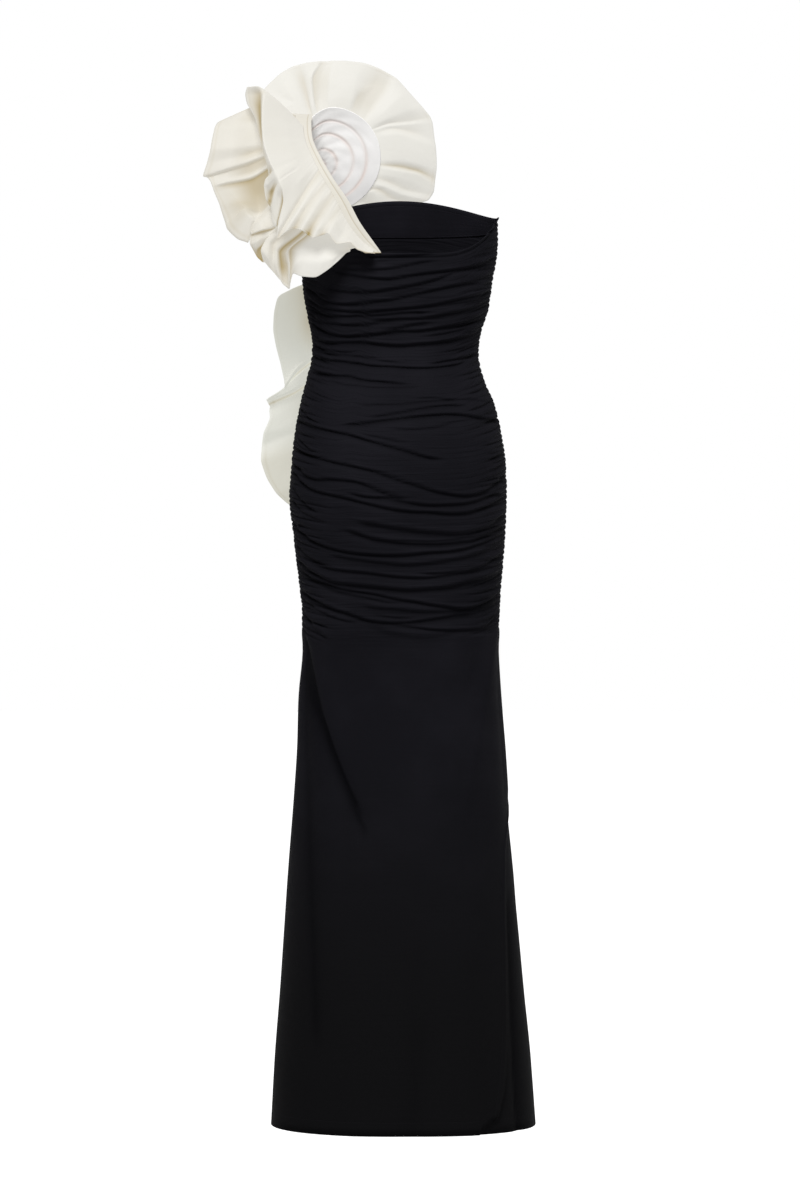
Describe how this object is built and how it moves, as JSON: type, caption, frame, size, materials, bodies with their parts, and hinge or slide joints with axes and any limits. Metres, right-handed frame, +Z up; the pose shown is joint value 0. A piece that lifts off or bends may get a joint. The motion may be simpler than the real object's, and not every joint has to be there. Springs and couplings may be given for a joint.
{
  "type": "maxi dress",
  "caption": "One-shoulder column gown in gathered jersey with a side slit, and a stiff ruffled rosette, strap and cascade on one shoulder",
  "frame": {"origin": "on the body's middle line at waist height, where the narrowest part of the dress is held by the wearer", "axes": "+Z up, +Y to the wearer's front, +X to the wearer's right, so the view along +Y shows the back"},
  "size_m": [0.4857, 0.3189, 1.5771],
  "materials": {
    "black_jersey": "matte",
    "ivory_taffeta": "satin",
    "white_lining": "matte"
  },
  "bodies": {
    "root": {"back_panel": "black_jersey", "front_panel": "black_jersey", "front_facing": "black_jersey", "shoulder_strap": "ivory_taffeta", "strap_ruffle_upper": "ivory_taffeta", "strap_ruffle_lower": "ivory_taffeta", "rosette_base": "ivory_taffeta", "rosette_lining": "white_lining", "collar_ruffle": "ivory_taffeta", "rosette_ring_1": "ivory_taffeta", "rosette_ring_2": "ivory_taffeta", "rosette_ring_3": "ivory_taffeta", "rosette_ring_4": "ivory_taffeta", "cascade_ruffle": "ivory_taffeta"}
  },
  "joints": []
}
